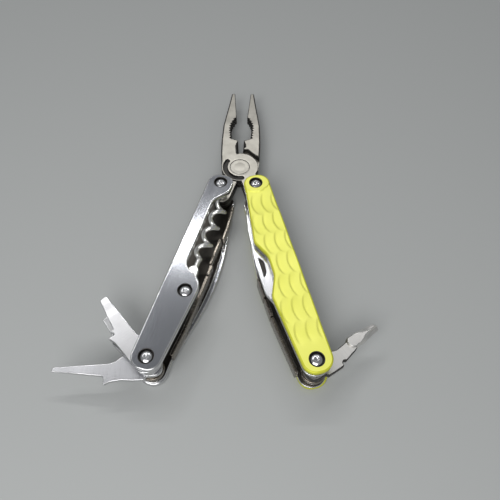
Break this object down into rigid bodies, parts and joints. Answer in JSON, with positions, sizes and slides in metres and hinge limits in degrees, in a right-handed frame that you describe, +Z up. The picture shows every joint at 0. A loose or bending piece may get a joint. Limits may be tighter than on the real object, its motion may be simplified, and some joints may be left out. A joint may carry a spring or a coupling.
{
  "type": "folding multi tool",
  "caption": "Butterfly-opening pliers multi tool lying open, with folding drivers, can opener, corkscrew and knife in its two handles.",
  "frame": {"origin": "middle of the open tool's footprint, on the surface that it lies on", "axes": "+Y towards the pliers' jaws, +Z up out of the surface, parallel to every pivot"},
  "size_m": [0.1084, 0.1408, 0.017],
  "materials": {
    "jaw_steel": "satin",
    "plate_steel": "brushed, with polished edges",
    "blade_steel": "fine satin",
    "spring_steel": "polished edges",
    "rivet_steel": "polished",
    "yellow_scale": "satin anodised, pale yellow"
  },
  "bodies": {
    "left_jaw": {"left_jaw": "jaw_steel", "jaw_pivot_pin": "rivet_steel"},
    "right_jaw": {"right_jaw": "jaw_steel"},
    "left_handle": {"left_upper_plate": "plate_steel", "left_lower_plate": "plate_steel", "left_liner": "spring_steel", "left_front_rail": "spring_steel", "left_coil_rail": "spring_steel", "left_short_spring": "spring_steel", "left_long_spring": "spring_steel", "left_front_spacer": "rivet_steel", "left_middle_spacer": "rivet_steel", "left_end_washer_low": "spring_steel", "left_end_washer_high": "spring_steel", "left_front_rivet": "rivet_steel", "left_middle_rivet": "rivet_steel", "left_end_rivet": "rivet_steel"},
    "right_handle": {"right_upper_scale": "yellow_scale", "right_lower_scale": "yellow_scale", "right_upper_liner": "spring_steel", "right_lower_liner": "spring_steel", "right_short_spring": "spring_steel", "right_middle_spring": "spring_steel", "right_long_spring": "spring_steel", "right_front_spacer": "rivet_steel", "right_end_washer_low": "spring_steel", "right_end_washer_high": "spring_steel", "right_front_rivet": "rivet_steel", "right_end_rivet": "rivet_steel"},
    "can_opener": {"can_opener": "blade_steel"},
    "small_driver": {"small_driver": "blade_steel"},
    "flat_driver": {"flat_driver": "blade_steel"},
    "corkscrew": {"corkscrew": "blade_steel"},
    "phillips_driver": {"phillips_driver": "blade_steel"},
    "knife": {"knife_blade": "blade_steel"}
  },
  "joints": [
    {"name": "jaw_pivot", "type": "hinge", "parent": "left_jaw", "child": "right_jaw", "pos_m": [0.00617, 0.02367, 0.0063], "axis": [0, 0, -1], "range_deg": [-8.7, 25]},
    {"name": "left_handle_fold", "type": "hinge", "parent": "right_jaw", "child": "left_handle", "pos_m": [-0.00107, 0.0081, 0.0063], "axis": [0, 0, 1], "range_deg": [-168.9, 0]},
    {"name": "right_handle_fold", "type": "hinge", "parent": "left_jaw", "child": "right_handle", "pos_m": [0.01275, 0.00781, 0.0063], "axis": [0, 0, -1], "range_deg": [-168.5, 0]},
    {"name": "can_opener_fold", "type": "hinge", "parent": "left_handle", "child": "can_opener", "pos_m": [-0.02247, -0.06337, 0.0115], "axis": [0, 0, 1], "range_deg": [-55.5, 124.5]},
    {"name": "small_driver_fold", "type": "hinge", "parent": "left_handle", "child": "small_driver", "pos_m": [-0.02247, -0.06337, 0.0115], "axis": [0, 0, 1], "range_deg": [-63.7, 116.3]},
    {"name": "flat_driver_fold", "type": "hinge", "parent": "left_handle", "child": "flat_driver", "pos_m": [-0.02247, -0.06337, 0.0115], "axis": [0, 0, 1], "range_deg": [-110, 70]},
    {"name": "corkscrew_fold", "type": "hinge", "parent": "left_handle", "child": "corkscrew", "pos_m": [-0.01177, -0.03984, 0.0117], "axis": [0, 0, -1], "range_deg": [0, 5]},
    {"name": "phillips_fold", "type": "hinge", "parent": "right_handle", "child": "phillips_driver", "pos_m": [0.03158, -0.06437, 0.0115], "axis": [0, 0, -1], "range_deg": [-71.5, 108.5]},
    {"name": "knife_fold", "type": "hinge", "parent": "right_handle", "child": "knife", "pos_m": [0.03158, -0.06437, 0.0115], "axis": [0, 0, 1], "range_deg": [0, 7]}
  ]
}
